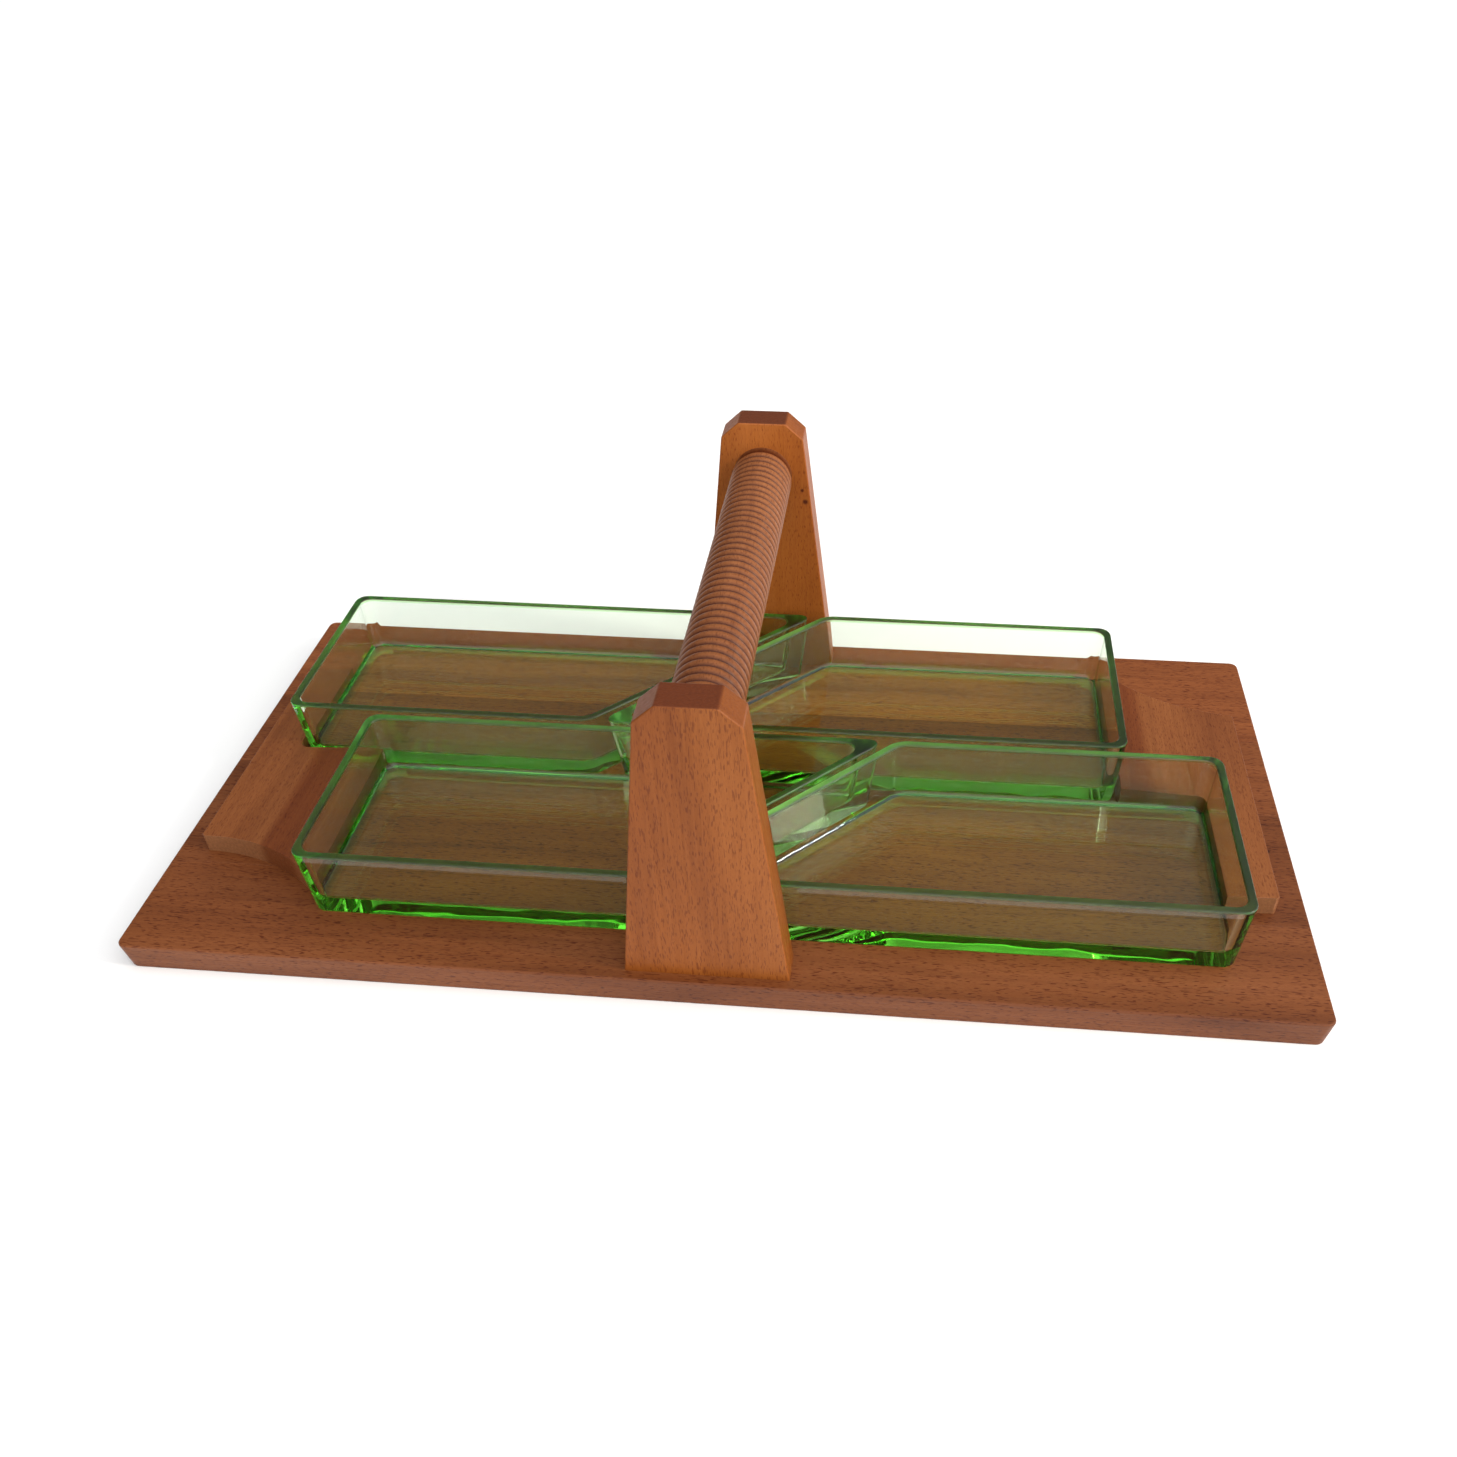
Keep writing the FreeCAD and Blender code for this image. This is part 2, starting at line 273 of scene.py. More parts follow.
    bump = nodes.new("ShaderNodeBump")
    bump.inputs["Strength"].default_value = 0.35
    bump.inputs["Distance"].default_value = 0.0002
    fibre_height = ramp(fibre, [(0.2, grey(0.0)), (0.8, grey(1.0))])
    fleck_height = ramp(fleck, [(0.25, grey(0.0)), (0.4, grey(1.0))])
    links.new(mix(0.4, fibre_height, fleck_height), bump.inputs["Height"])
    links.new(bump.outputs["Normal"], shader.inputs["Normal"])
    return material


def toned(tones, tone):
    """Wood tones made lighter or darker together."""
    return [tuple(value * tone for value in colour) for colour in tones]


def tint_where(material, mask, tint):
    """Multiplies a wood's colour by a tint where the mask is 1."""
    tree = material.node_tree
    base = tree.nodes["Principled BSDF"].inputs["Base Color"]
    node = tree.nodes.new("ShaderNodeMix")
    node.data_type = "RGBA"
    node.blend_type = "MULTIPLY"
    tree.links.new(mask, node.inputs["Factor"])
    tree.links.new(base.links[0].from_socket, node.inputs[MIX_FIRST])
    node.inputs[MIX_SECOND].default_value = (*tint, 1.0)
    tree.links.new(node.outputs[MIX_RESULT], base)


def span_mask(material, axis, low, high, soft):
    """1 between two places along an axis, with soft ends."""
    tree = material.node_tree
    place = tree.nodes.new("ShaderNodeSeparateXYZ")
    tree.links.new(tree.nodes["Texture Coordinate"].outputs["Object"], place.inputs["Vector"])
    ends = []
    for level, first, last in ((low, 0.0, 1.0), (high, 1.0, 0.0)):
        step = tree.nodes.new("ShaderNodeMapRange")
        step.interpolation_type = "SMOOTHSTEP"
        step.inputs["From Min"].default_value = level - soft / 2
        step.inputs["From Max"].default_value = level + soft / 2
        step.inputs["To Min"].default_value = first
        step.inputs["To Max"].default_value = last
        tree.links.new(place.outputs[axis], step.inputs["Value"])
        ends.append(step.outputs["Result"])
    return product(material, *ends)


def product(material, first, second):
    """Two masks multiplied."""
    node = material.node_tree.nodes.new("ShaderNodeMath")
    node.operation = "MULTIPLY"
    material.node_tree.links.new(first, node.inputs[0])
    material.node_tree.links.new(second, node.inputs[1])
    return node.outputs[0]


def pin_knot(material, place, radius):
    """A tiny dark knot."""
    tree = material.node_tree
    distance = tree.nodes.new("ShaderNodeVectorMath")
    distance.operation = "DISTANCE"
    distance.inputs[1].default_value = place
    tree.links.new(tree.nodes["Texture Coordinate"].outputs["Object"], distance.inputs[0])
    spot = tree.nodes.new("ShaderNodeMapRange")
    spot.inputs["From Min"].default_value = radius * 0.6
    spot.inputs["From Max"].default_value = radius * 1.4
    spot.inputs["To Min"].default_value = 1.0
    spot.inputs["To Max"].default_value = 0.0
    tree.links.new(distance.outputs["Value"], spot.inputs["Value"])
    tint_where(material, spot.outputs["Result"], (0.25, 0.15, 0.12))


def add_piece(name, bm, material, body, nodes):
    """Turns a bmesh into a smooth-shaded object that rides on a body and stands for CAD nodes."""
    bmesh.ops.recalc_face_normals(bm, faces=bm.faces)
    if bm.calc_volume(signed=True) < 0:
        bmesh.ops.reverse_faces(bm, faces=bm.faces)
    mesh = bpy.data.meshes.new(name)
    bm.to_mesh(mesh)
    bm.free()
    mesh.shade_smooth()
    mesh.set_sharp_from_angle(angle=SHARP_ANGLE)
    mesh.materials.append(material)
    piece = bpy.data.objects.new(name, mesh)
    even_faces = piece.modifiers.new("even_faces", "WEIGHTED_NORMAL")
    even_faces.keep_sharp = True
    scene.collection.objects.link(piece)
    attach(piece, body)
    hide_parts(*nodes)


def round_edges(bm, edges, radius, segments=3):
    """Rounds edges over with an even radius."""
    return bmesh.ops.bevel(bm, geom=edges, offset=radius, offset_type="OFFSET", affect="EDGES",
                           segments=segments, profile=0.5, material=-1, clamp_overlap=True)


def is_near(value, target, slack=1e-5):
    """Whether two measures are the same apart from rounding."""
    return abs(value - target) < slack


def board_blank():
    """The board before it is parted into staves."""
    bm = bmesh.new()
    bmesh.ops.create_cube(bm, size=1.0)
    bmesh.ops.scale(bm, vec=board_high - board_low, verts=bm.verts)
    bmesh.ops.translate(bm, vec=(board_high + board_low) / 2, verts=bm.verts)
    for vert in bm.verts:
        if is_near(vert.co.z, board_low.z):
            vert.co.x -= math.copysign(EDGE_LEAN, vert.co.x)
            vert.co.y -= math.copysign(EDGE_LEAN, vert.co.y)
    uprights = [edge for edge in bm.edges if abs(edge.verts[0].co.z - edge.verts[1].co.z) > 0.01]
    round_edges(bm, uprights, CORNER_RADIUS, 6)
    for level, radius in ((board_high.z, TOP_ARRIS), (board_low.z, UNDER_ARRIS)):
        rim = [edge for edge in bm.edges if all(is_near(vert.co.z, level) for vert in edge.verts)
               and any(abs(face.normal.z) < 0.9 for face in edge.link_faces)]
        round_edges(bm, rim, radius)
    return bm


SCREW_RADII = {"upright_screws": (0.004, 0.002), "block_screws": (0.0035, 0.00175)}    # head, shank
SCREW_RECESS = 0.0004
LONG_ARM_SCREW_INSET = 0.03045
DRILL_RUN_OUT = 0.001


def screw_holes():
    """Drills for the ten countersunk screws, placed by the boxes of the two sets of screws."""
    drills = bmesh.new()
    for name, (head, shank) in SCREW_RADII.items():
        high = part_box(name)[1]
        across, out = high.x - head, high.y - head
        places = [(x, y) for x in (-across, across) for y in (-out, out)]
        if name == "block_screws":
            inner = across - LONG_ARM_SCREW_INSET
            places += [(-inner, -out), (inner, out)]
        below = board_low.z - DRILL_RUN_OUT
        sunk = board_low.z + SCREW_RECESS
        cone_end = sunk + head - shank
        profile = [(0.0, below), (head, below), (head, sunk)]
        profile += [(shank, cone_end), (shank, high.z), (0.0, high.z)]
        for x, y in places:
            points = [drills.verts.new((x + radius, y, z)) for radius, z in profile]
            for first, second in zip(points, points[1:]):
                drills.edges.new((first, second))
            chain = points + list(dict.fromkeys(edge for point in points for edge in point.link_edges))
            bmesh.ops.spin(drills, geom=chain, cent=(x, y, 0), axis=(0, 0, 1),
                           angle=math.tau, steps=32, use_merge=True)
    bmesh.ops.remove_doubles(drills, verts=drills.verts, dist=1e-6)
    bmesh.ops.recalc_face_normals(drills, faces=drills.faces)
    return drills


def cut_away(bm, tool_bm):
    """The first mesh with the second cut out of it; both are used up."""
    pair = []
    for part in (bm, tool_bm):
        mesh = bpy.data.meshes.new("bench")
        part.to_mesh(mesh)
        part.free()
        pair.append(bpy.data.objects.new("bench", mesh))
        scene.collection.objects.link(pair[-1])
    blank, tool = pair
    cut = blank.modifiers.new("holes", "BOOLEAN")
    cut.operation = "DIFFERENCE"
    cut.object = tool
    evaluated = blank.evaluated_get(bpy.context.evaluated_depsgraph_get())
    finished = bpy.data.meshes.new_from_object(evaluated)
    result = bmesh.new()
    result.from_mesh(finished)
    bmesh.ops.remove_doubles(result, verts=result.verts, dist=1e-6)
    bpy.data.meshes.remove(finished)
    for bench in pair:
        bpy.data.meshes.remove(bench.data)
    return result


# The board's tones are darker than the uprights': painted shade for its flat top, which takes less light
# than their upright faces.
BOARD_TONES = ((0.225, 0.073, 0.024), (0.172, 0.051, 0.014), (0.112, 0.030, 0.008))
BOARD_END_GRAIN = (0.13, 0.045, 0.018)
STAVE_TONES = (1.0, 0.96, 1.04, 1.38)
# painted light together with the wood's own lighter tone under the dishes, and how far in from the rows'
# edges it ends
UNDER_DISH_TONE_AND_LIGHT = (2.1, 2.05, 1.0)
UNDER_DISH_END_INSET = 0.006
UNDER_DISH_SIDE_INSET = 0.003
PIN_KNOT_RADIUS = 0.0009
for index, name in enumerate(stave_names):
    low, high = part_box(name)
    bm = board_blank()
    for level, outward in ((low.y, -1.0), (high.y, 1.0)):
        if is_near(level, board_low.y, 1e-3) or is_near(level, board_high.y, 1e-3):
            continue
        everything = bm.verts[:] + bm.edges[:] + bm.faces[:]
        cut = bmesh.ops.bisect_plane(bm, geom=everything, plane_co=(0, level, 0),
                                     plane_no=(0, outward, 0), clear_outer=True)
        rim = [item for item in cut["geom_cut"] if isinstance(item, bmesh.types.BMEdge)]
        bmesh.ops.contextual_create(bm, geom=rim)
        bm.normal_update()
        seam = [edge for edge in bm.edges if all(is_near(vert.co.y, level) for vert in edge.verts)
                and all(is_near(vert.co.z, board_high.z) for vert in edge.verts)]
        round_edges(bm, seam, GLUE_LINE_ARRIS, 1)
    bm = cut_away(bm, screw_holes())
    wood = beech(f"board_beech_{index + 1}", "X", toned(BOARD_TONES, STAVE_TONES[index]),
                 BOARD_END_GRAIN, (index * 3.1, index * 1.7, 0.4), flecks=1.0)

    # the wood under each row of dishes is lighter: partly its own tone where the dishes kept the light
    # off it, partly painted light that brightens it as seen through the glass
    row = ["dish_front_left", "dish_front_right"] if index < 2 else ["dish_back_left", "dish_back_right"]
    row_low, row_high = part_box(row[0])[0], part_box(row[1])[1]
    along = span_mask(wood, "X", row_low.x + UNDER_DISH_END_INSET, row_high.x - UNDER_DISH_END_INSET, 0.006)
    across = span_mask(wood, "Y", row_low.y + UNDER_DISH_SIDE_INSET, row_high.y - UNDER_DISH_SIDE_INSET, 0.003)
    under_dish_tone_and_light = product(wood, along, across)
    tint_where(wood, under_dish_tone_and_light, UNDER_DISH_TONE_AND_LIGHT)
    if index == 0:
        pin_knot(wood, (-0.043, board_low.y, 0.007), PIN_KNOT_RADIUS)
    if index == 1:
        pin_knot(wood, (0.240, -0.025, board_high.z), PIN_KNOT_RADIUS)
    add_piece(f"stave_{index + 1}", bm, wood, "carrier", [name])

# ---------------------------------------------------------------- end blocks
# A stepped beech block at each end keeps the dishes in place, held by glue and three screws. Its
# ends are sawn to a hollow curve, its top falls away towards the board's end, and the two blocks
# are half a turn apart. The wood is darker in a band beside the dishes.
BLOCK_END_ARC = 0.085
BLOCK_OUTER_HEIGHT = 0.009
BLOCK_STEP_RADIUS = 0.005
BLOCK_SHOULDER = 0.0199
BLOCK_END_Y = 0.0645
BLOCK_CORNER_ROUND = 0.0022
BLOCK_TOP_ROUND = 0.0011
BLOCK_TONES = ((0.28, 0.096, 0.028), (0.215, 0.067, 0.018), (0.15, 0.040, 0.010))
BLOCK_END_GRAIN = (0.24, 0.098, 0.040)
BAND_TINT = (0.68, 0.52, 0.42)
DISH_SIDE_BANDS = {"end_block_left": (-0.206, -0.187), "end_block_right": (0.170, 0.190)}
block_low, block_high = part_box("end_block_left")


def block_mesh():
    """The left end block."""
    bm = bmesh.new()
    outer_x, inner_x = block_low.x, block_high.x
    narrow_x = outer_x + BLOCK_SHOULDER
    base = block_low.z

    def hollow_end(side, x_far):
        """The curved end from the outer corner to x_far."""
        start = bm.verts.new((outer_x, side * BLOCK_END_Y, base))
        arc_centre = (outer_x, side * (BLOCK_END_Y + BLOCK_END_ARC), base)
        turn = math.asin((x_far - outer_x) / BLOCK_END_ARC)
        bmesh.ops.spin(bm, geom=[start], cent=arc_centre, axis=(0, 0, 1), angle=side * turn, steps=14)

    hollow_end(-1, inner_x)
    hollow_end(1, narrow_x)
    step = bm.verts.new((narrow_x, BLOCK_STEP_RADIUS, base))
    bmesh.ops.spin(bm, geom=[step], cent=(narrow_x + BLOCK_STEP_RADIUS, BLOCK_STEP_RADIUS, base),
                   axis=(0, 0, 1), angle=math.pi / 2, steps=6)
    corner = bm.verts.new((inner_x, 0.0, base))
    open_ends = [vert for vert in bm.verts if len(vert.link_edges) < 2]

    def end_at(x, y):
        """The loose end nearest to a place."""
        return min(open_ends, key=lambda vert: (vert.co - Vector((x, y, base))).length)

    def join(first, second):
        bm.edges.new((first, second))

    join(end_at(outer_x, -BLOCK_END_Y), end_at(outer_x, BLOCK_END_Y))
    join(end_at(inner_x, block_low.y), corner)
    join(corner, end_at(narrow_x + BLOCK_STEP_RADIUS, 0.0))
    join(end_at(narrow_x, BLOCK_STEP_RADIUS), end_at(narrow_x, block_high.y))
    plan = bmesh.ops.contextual_create(bm, geom=bm.edges[:])["faces"]
    raised = bmesh.ops.extrude_face_region(bm, geom=plan)["geom"]
    slope = (block_high.z - base - BLOCK_OUTER_HEIGHT) / (inner_x - outer_x)
    for vert in [item for item in raised if isinstance(item, bmesh.types.BMVert)]:
        vert.co.z = base + BLOCK_OUTER_HEIGHT + slope * (vert.co.x - outer_x)
    bmesh.ops.recalc_face_normals(bm, faces=bm.faces)
    corners = [edge for edge in bm.edges if abs(edge.verts[0].co.z - edge.verts[1].co.z) > 0.005
               and is_near(edge.verts[0].co.x, outer_x)]
    round_edges(bm, corners, BLOCK_CORNER_ROUND, 4)
    top = [edge for edge in bm.edges if min(vert.co.z for vert in edge.verts) > base + 0.005
           and len(edge.link_faces) == 2 and edge.calc_face_angle() > CLEARLY_BENT]
    round_edges(bm, top, BLOCK_TOP_ROUND, 3)
    return bm


for name, turn in (("end_block_left", 0.0), ("end_block_right", math.pi)):
    bm = block_mesh()
    bmesh.ops.rotate(bm, verts=bm.verts, cent=(0, 0, 0), matrix=Matrix.Rotation(turn, 3, "Z"))
    bm = cut_away(bm, screw_holes())
    wood = beech(f"{name}_beech", "Y", BLOCK_TONES, BLOCK_END_GRAIN, (turn * 2.0, 6.2, 1.3))
    tint_where(wood, span_mask(wood, "X", *DISH_SIDE_BANDS[name], 0.006), BAND_TINT)
    add_piece(name + "_wood", bm, wood, "carrier", [name])

# ---------------------------------------------------------------- uprights
# Two tapered beech planks with their top corners clipped and the grain upright, each held by two
# screws that come up through the board, and bored blind on the inner face for the grip's spigot.
UPRIGHT_HALF_TOP = 0.01875
UPRIGHT_CLIP = 0.0075
SPIGOT_BORE_RADIUS = 0.0091
SPIGOT_BORE_DEPTH = 0.010
SPIGOT_BORE_HEIGHT = 0.123
UPRIGHT_ARRIS = 0.0007
UPRIGHT_TONES = ((0.315, 0.096, 0.018), (0.255, 0.070, 0.010), (0.19, 0.047, 0.006))
UPRIGHT_END_GRAIN = (0.12, 0.028, 0.008)
BACK_UPRIGHT_KNOTS = ((0.0205, 0.1095, 0.0012), (0.0190, 0.1155, 0.0008))    # x, z, radius
# The back upright is toned 1.25 times lighter than the front one: painted light that lifts the face it
# turns to the grip, which lies more in shade.
for name, tone, shift in (("upright_front", 1.0, (2.3, 0.5, 4.0)),
                          ("upright_back", 1.25, (8.1, 3.5, 1.0))):
    low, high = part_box(name)
    clip_z = high.z - UPRIGHT_CLIP
    taper = (high.x - UPRIGHT_HALF_TOP) / (high.z - low.z)
    half_at_clip = UPRIGHT_HALF_TOP + taper * UPRIGHT_CLIP
    half_flat = UPRIGHT_HALF_TOP - UPRIGHT_CLIP
    bm = bmesh.new()
    outline = [(high.x, low.z), (half_at_clip, clip_z), (half_flat, high.z)]
    outline += [(-x, z) for x, z in reversed(outline)]
    face = bm.faces.new([bm.verts.new((x, low.y, z)) for x, z in outline])
    pushed = bmesh.ops.extrude_face_region(bm, geom=[face])["geom"]
    far_corners = [item for item in pushed if isinstance(item, bmesh.types.BMVert)]
    bmesh.ops.translate(bm, vec=(0, high.y - low.y, 0), verts=far_corners)
    bmesh.ops.recalc_face_normals(bm, faces=bm.faces)
    arrises = [edge for edge in bm.edges if max(vert.co.z for vert in edge.verts) > low.z + 1e-4]
    round_edges(bm, arrises, UPRIGHT_ARRIS, 3)
    bm = cut_away(bm, screw_holes())
    inner_y = min(low.y, high.y, key=abs)
    bore = bmesh.new()
    bmesh.ops.create_cone(bore, segments=72, cap_ends=True,
                          radius1=SPIGOT_BORE_RADIUS, radius2=SPIGOT_BORE_RADIUS,
                          depth=2 * SPIGOT_BORE_DEPTH, matrix=Matrix.Rotation(math.pi / 2, 4, "X"))
    bmesh.ops.translate(bore, vec=(0, inner_y, SPIGOT_BORE_HEIGHT), verts=bore.verts)
    bm = cut_away(bm, bore)
    wood = beech(f"{name}_beech", "Z", toned(UPRIGHT_TONES, tone), UPRIGHT_END_GRAIN, shift)
    if name == "upright_back":
        for x, z, radius in BACK_UPRIGHT_KNOTS:
            pin_knot(wood, (x, low.y, z), radius)
    add_piece(name + "_wood", bm, wood, "carrier", [name])

# ---------------------------------------------------------------- grip
# A beech bar turned with close V grooves between soft round beads, with painted shade darkening the wood
# in the grooves.
# A spigot turned on each end is glued into a blind bore in each upright.
RING_PITCH = 0.0048
GROOVE_DEPTH = 0.001
GROOVE_WIDTH = 0.0016
BEAD_POINTS = 6
BEAD_FALL = 0.0006
SPIGOT_RADIUS = 0.009
GRIP_END_ARRIS = 0.0004
PLAIN_GRIP_ENDS = 0.003
GRIP_TONES = ((0.32, 0.118, 0.042), (0.245, 0.082, 0.026), (0.17, 0.052, 0.015))
GRIP_END_GRAIN = (0.14, 0.05, 0.02)
# the colour of the painted shade in the grip's grooves
GROOVE_PAINTED_SHADE = (0.30, 0.17, 0.10)
grip_low, grip_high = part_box("grip")
grip_radius = (grip_high.x - grip_low.x) / 2
grip_centre = Vector((0.0, 0.0, (grip_low.z + grip_high.z) / 2))
grip_half = -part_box("upright_front")[1].y
ring_count = int((2 * grip_half - PLAIN_GRIP_ENDS - GROOVE_WIDTH) / RING_PITCH) + 1
profile = [(0.0, grip_low.y), (SPIGOT_RADIUS, grip_low.y), (SPIGOT_RADIUS, -grip_half)]
profile.append((grip_radius - GRIP_END_ARRIS, -grip_half))
first_groove = -(ring_count - 1) * RING_PITCH / 2
for ring in range(ring_count):
    groove = first_groove + ring * RING_PITCH
    profile.append((grip_radius - GROOVE_DEPTH, groove))
    if ring == ring_count - 1:
        break
    for step in range(BEAD_POINTS + 1):
        share = step / BEAD_POINTS
        y = groove + GROOVE_WIDTH / 4 + share * (RING_PITCH - GROOVE_WIDTH / 2)
        profile.append((grip_radius - BEAD_FALL * (2 * share - 1) ** 2, y))
profile.append((grip_radius - GRIP_END_ARRIS, grip_half))
profile += [(SPIGOT_RADIUS, grip_half), (SPIGOT_RADIUS, grip_high.y), (0.0, grip_high.y)]
bm = bmesh.new()
points = [bm.verts.new((radius, y, grip_centre.z)) for radius, y in profile]
for first, second in zip(points, points[1:]):
    bm.edges.new((first, second))
bmesh.ops.spin(bm, geom=bm.verts[:] + bm.edges[:], cent=grip_centre, axis=(0, 1, 0),
               angle=math.tau, steps=72, use_merge=True)
bmesh.ops.remove_doubles(bm, verts=bm.verts, dist=1e-6)
wood = beech("grip_beech", "Y", GRIP_TONES, GRIP_END_GRAIN, (5.0, 1.0, 9.0))
nodes, links = wood.node_tree.nodes, wood.node_tree.links
centred = nodes.new("ShaderNodeMapping")
centred.inputs["Location"].default_value = -grip_centre
centred.inputs["Scale"].default_value = (1.0, 0.0, 1.0)
links.new(nodes["Texture Coordinate"].outputs["Object"], centred.inputs["Vector"])
from_axis = nodes.new("ShaderNodeVectorMath")
from_axis.operation = "LENGTH"
links.new(centred.outputs["Vector"], from_axis.inputs[0])
# painted shade: the wood darkens the deeper it lies below the beads' crests, most in the grooves
groove_shade_mask = nodes.new("ShaderNodeMapRange")
groove_shade_mask.inputs["From Min"].default_value = grip_radius - 0.8 * GROOVE_DEPTH
groove_shade_mask.inputs["From Max"].default_value = grip_radius - 0.0001
groove_shade_mask.inputs["To Min"].default_value = 1.0
groove_shade_mask.inputs["To Max"].default_value = 0.0
links.new(from_axis.outputs["Value"], groove_shade_mask.inputs["Value"])
tint_where(wood, groove_shade_mask.outputs["Result"], GROOVE_PAINTED_SHADE)
add_piece("turned_grip", bm, wood, "carrier", ["grip"])

# ---------------------------------------------------------------- dishes
# Thick green pressed glass, one mould for all four: a right trapezoid with walls that lean out,
# a heavy floor, rounded corners and a flat ground rim. Each dish stands loose on the board.
DISH_SHORT = 0.145
DISH_LONG = 0.2435
DISH_WALL = 0.0034
DISH_DRAFT = 0.002
DISH_FLOOR = 0.007
CORNER_ANGLES = [math.radians(value) for value in (90, 135, 45, 90)]
OUTER_CORNERS = (0.006, 0.012, 0.004, 0.006)
HOLLOW_CORNERS = (0.0055, 0.0085, 0.0055, 0.0055)
CORNER_SEGMENTS = 8
FLOOR_FILLET = 0.0022
RIM_ROUND = 0.0006
FOOT_ROUND = 0.0011
STANDING_GAP = 0.00008
GLASS_COLOUR = (0.33, 0.88, 0.0, 1.0)
GLASS_DENSITY = 27.0
GLASS_ROUGHNESS = 0.015
RIM_ROUGHNESS = 0.28
CLEAR_TONE = (0.98, 1.0, 0.97, 1.0)
RIM_TONE = (0.45, 0.92, 0.36, 1.0)
RIM_TONE_DEPTH = 0.0016


def glass_material(rim_z):
    """Green soda glass, coloured by its own depth. The flat rim is ground matt and gathers the
    colour, and the underside, which the mould marked, has a slight ripple."""
    material, tree, shader, output = new_material("green_pressed_glass")
    shader.inputs["IOR"].default_value = 1.52
    shader.inputs["Transmission Weight"].default_value = 1.0
    absorb = tree.nodes.new("ShaderNodeVolumeAbsorption")
    absorb.inputs["Color"].default_value = GLASS_COLOUR
    absorb.inputs["Density"].default_value = GLASS_DENSITY
    tree.links.new(absorb.outputs["Volume"], output.inputs["Volume"])
    coordinates = tree.nodes.new("ShaderNodeTexCoord")
    ripple = tree.nodes.new("ShaderNodeTexNoise")
    ripple.inputs["Scale"].default_value = 27.0
    ripple.inputs["Detail"].default_value = 1.5
    tree.links.new(coordinates.outputs["Object"], ripple.inputs["Vector"])
    facing = tree.nodes.new("ShaderNodeSeparateXYZ")
    tree.links.new(coordinates.outputs["Normal"], facing.inputs["Vector"])
    place = tree.nodes.new("ShaderNodeSeparateXYZ")
    tree.links.new(coordinates.outputs["Object"], place.inputs["Vector"])
    on_rim = tree.nodes.new("ShaderNodeMapRange")
    on_rim.inputs["From Min"].default_value = rim_z - RIM_TONE_DEPTH
    on_rim.inputs["From Max"].default_value = rim_z - RIM_TONE_DEPTH / 2
    tree.links.new(place.outputs["Z"], on_rim.inputs["Value"])
    tone = tree.nodes.new("ShaderNodeMix")
    tone.data_type = "RGBA"
    tone.inputs[MIX_FIRST].default_value = CLEAR_TONE
    tone.inputs[MIX_SECOND].default_value = RIM_TONE
    tree.links.new(on_rim.outputs["Result"], tone.inputs["Factor"])
    tree.links.new(tone.outputs[MIX_RESULT], shader.inputs["Base Color"])
    ground = tree.nodes.new("ShaderNodeMapRange")
    ground.inputs["To Min"].default_value = GLASS_ROUGHNESS
    ground.inputs["To Max"].default_value = RIM_ROUGHNESS
    tree.links.new(on_rim.outputs["Result"], ground.inputs["Value"])
    tree.links.new(ground.outputs["Result"], shader.inputs["Roughness"])
    underside = tree.nodes.new("ShaderNodeMapRange")
    underside.inputs["From Min"].default_value = -0.95
    underside.inputs["From Max"].default_value = -0.6
    underside.inputs["To Min"].default_value = 0.26
    underside.inputs["To Max"].default_value = 0.03
    tree.links.new(facing.outputs["Z"], underside.inputs["Value"])
    bump = tree.nodes.new("ShaderNodeBump")
    tree.links.new(underside.outputs["Result"], bump.inputs["Strength"])
    bump.inputs["Distance"].default_value = 0.002
    tree.links.new(ripple.outputs["Fac"], bump.inputs["Height"])
    tree.links.new(bump.outputs["Normal"], shader.inputs["Normal"])
    return material


def tapered_cup(outline, inset, lean, top_z, bottom_z, corner_radii):
    """An open cup with its rim at top_z: the outline drawn in by inset, walls that lean in by lean."""
    bm = bmesh.new()
    floor = bm.faces.new([bm.verts.new((x, y, top_z)) for x, y in outline])
    bm.normal_update()
    if inset:
        ring = bmesh.ops.inset_region(bm, faces=[floor], thickness=inset,
                                      use_boundary=True, use_even_offset=True)
        bmesh.ops.delete(bm, geom=ring["faces"], context="FACES")
    bmesh.ops.inset_region(bm, faces=[floor], thickness=lean, use_boundary=True, use_even_offset=True)
    bmesh.ops.translate(bm, vec=(0, 0, bottom_z - top_z), verts=floor.verts[:])
    bm.normal_update()
    for place, radius, inner_angle in zip(outline, corner_radii, CORNER_ANGLES):
        upright_edges = [edge for edge in bm.edges
                         if abs(edge.verts[0].co.z - edge.verts[1].co.z) > 0.01]
        corner = min(upright_edges, key=lambda edge: (edge.verts[0].co.xy - Vector(place)).length)
        round_edges(bm, [corner], radius / math.tan(inner_angle / 2), CORNER_SEGMENTS)
    return bm


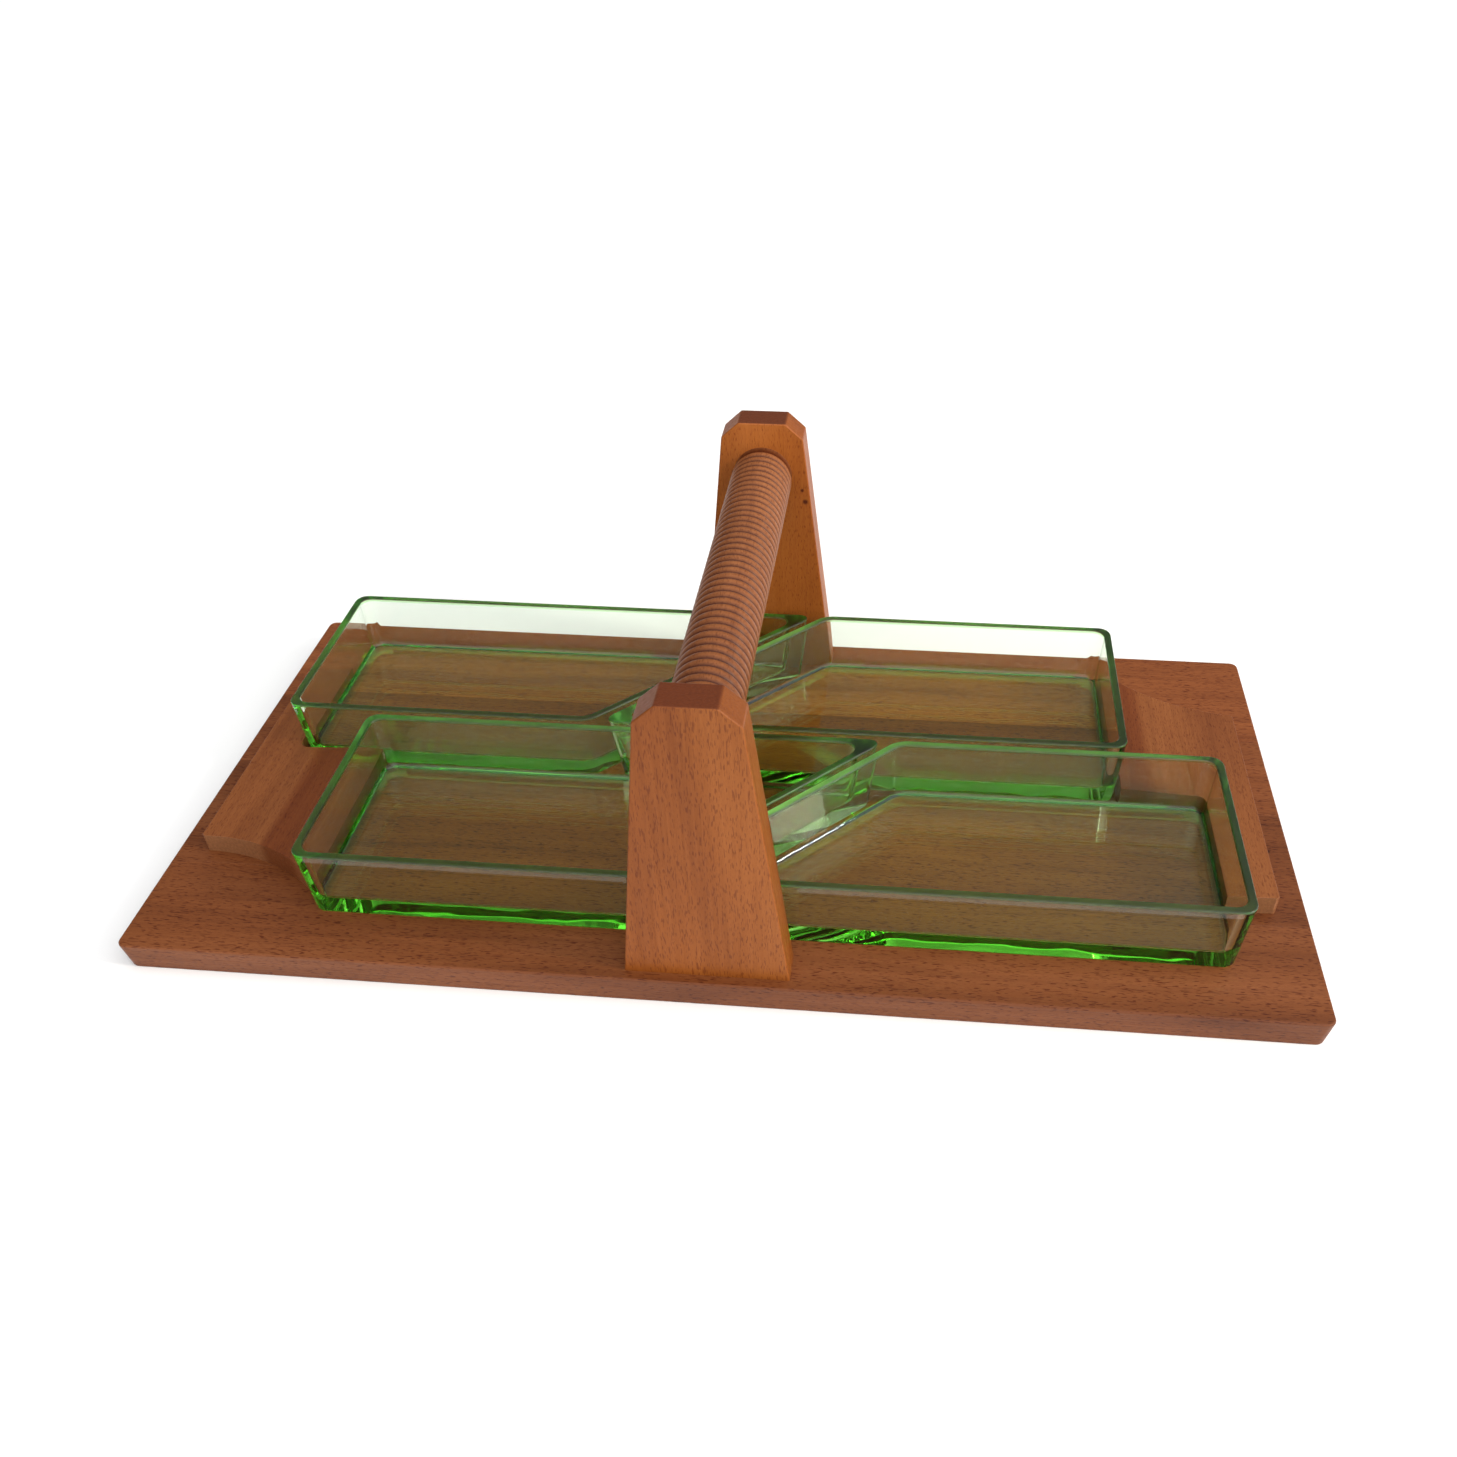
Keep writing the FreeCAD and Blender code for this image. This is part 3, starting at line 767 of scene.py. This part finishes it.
def dish_mesh(height, width):
    """One dish on z = 0 with its square end at x = 0 and its long side at y = width."""
    outline = [(0.0, 0.0), (DISH_SHORT, 0.0), (DISH_LONG, width), (0.0, width)]
    bm = tapered_cup(outline, 0.0, DISH_DRAFT, height, 0.0, OUTER_CORNERS)
    hollow_lean = DISH_DRAFT * (height - DISH_FLOOR) / height
    hollow = tapered_cup(outline, DISH_WALL, hollow_lean, height, DISH_FLOOR, HOLLOW_CORNERS)
    bmesh.ops.reverse_faces(hollow, faces=hollow.faces)
    hollow_mesh = bpy.data.meshes.new("dish_hollow")
    hollow.to_mesh(hollow_mesh)
    hollow.free()
    bm.from_mesh(hollow_mesh)
    bpy.data.meshes.remove(hollow_mesh)
    bmesh.ops.bridge_loops(bm, edges=[edge for edge in bm.edges if edge.is_boundary])
    bmesh.ops.recalc_face_normals(bm, faces=bm.faces)

    def turn_at(level):
        """The sharp edges that run round the dish at one height."""
        return [edge for edge in bm.edges if all(is_near(vert.co.z, level) for vert in edge.verts)
                and edge.calc_face_angle() > CLEARLY_BENT]

    round_edges(bm, turn_at(DISH_FLOOR), FLOOR_FILLET, 6)
    round_edges(bm, turn_at(height), RIM_ROUND, 5)
    round_edges(bm, turn_at(0.0), FOOT_ROUND, 4)
    return bm


glass = glass_material(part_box("dish_front_left")[1].z)
for name in ("dish_front_left", "dish_front_right", "dish_back_left", "dish_back_right"):
    low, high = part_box(name)
    bm = dish_mesh(high.z - low.z, high.y - low.y)
    if name.endswith("left"):
        bmesh.ops.translate(bm, vec=(low.x, low.y, low.z), verts=bm.verts)
    else:
        bmesh.ops.rotate(bm, verts=bm.verts, cent=(0, 0, 0), matrix=Matrix.Rotation(math.pi, 3, "Z"))
        bmesh.ops.translate(bm, vec=(high.x, high.y, low.z), verts=bm.verts)
    bmesh.ops.translate(bm, vec=(0, 0, STANDING_GAP), verts=bm.verts)
    add_piece(name + "_glass", bm, glass, name, [name])

# ---------------------------------------------------------------- screws
# Ten slotted countersunk steel wood screws, driven up from below: two into each upright and three
# into each end block. Their heads lie just inside the underside, a little tarnished.
TARNISHED_STEEL = (0.36, 0.34, 0.31, 1.0)
CLEAN_STEEL = (0.58, 0.57, 0.55, 1.0)
steel, steel_tree, steel_shader, _ = new_material("screw_steel")
steel_shader.inputs["Metallic"].default_value = 1.0
steel_place = steel_tree.nodes.new("ShaderNodeTexCoord")
tarnish = steel_tree.nodes.new("ShaderNodeTexNoise")
tarnish.inputs["Scale"].default_value = 900.0
tarnish.inputs["Detail"].default_value = 4.0
steel_tree.links.new(steel_place.outputs["Object"], tarnish.inputs["Vector"])
steel_tone = steel_tree.nodes.new("ShaderNodeMix")
steel_tone.data_type = "RGBA"
steel_tone.inputs[MIX_FIRST].default_value = TARNISHED_STEEL
steel_tone.inputs[MIX_SECOND].default_value = CLEAN_STEEL
steel_tree.links.new(tarnish.outputs["Fac"], steel_tone.inputs["Factor"])
steel_tree.links.new(steel_tone.outputs[MIX_RESULT], steel_shader.inputs["Base Color"])
steel_sheen = steel_tree.nodes.new("ShaderNodeMapRange")
steel_sheen.inputs["To Min"].default_value = 0.5
steel_sheen.inputs["To Max"].default_value = 0.28
steel_tree.links.new(tarnish.outputs["Fac"], steel_sheen.inputs["Value"])
steel_tree.links.new(steel_sheen.outputs["Result"], steel_shader.inputs["Roughness"])
pitting = steel_tree.nodes.new("ShaderNodeBump")
pitting.inputs["Strength"].default_value = 0.2
pitting.inputs["Distance"].default_value = 0.0001
steel_tree.links.new(tarnish.outputs["Fac"], pitting.inputs["Height"])
steel_tree.links.new(pitting.outputs["Normal"], steel_shader.inputs["Normal"])
for name in ("upright_screws", "block_screws"):
    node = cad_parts[name]
    node.data.materials.clear()
    node.data.materials.append(steel)
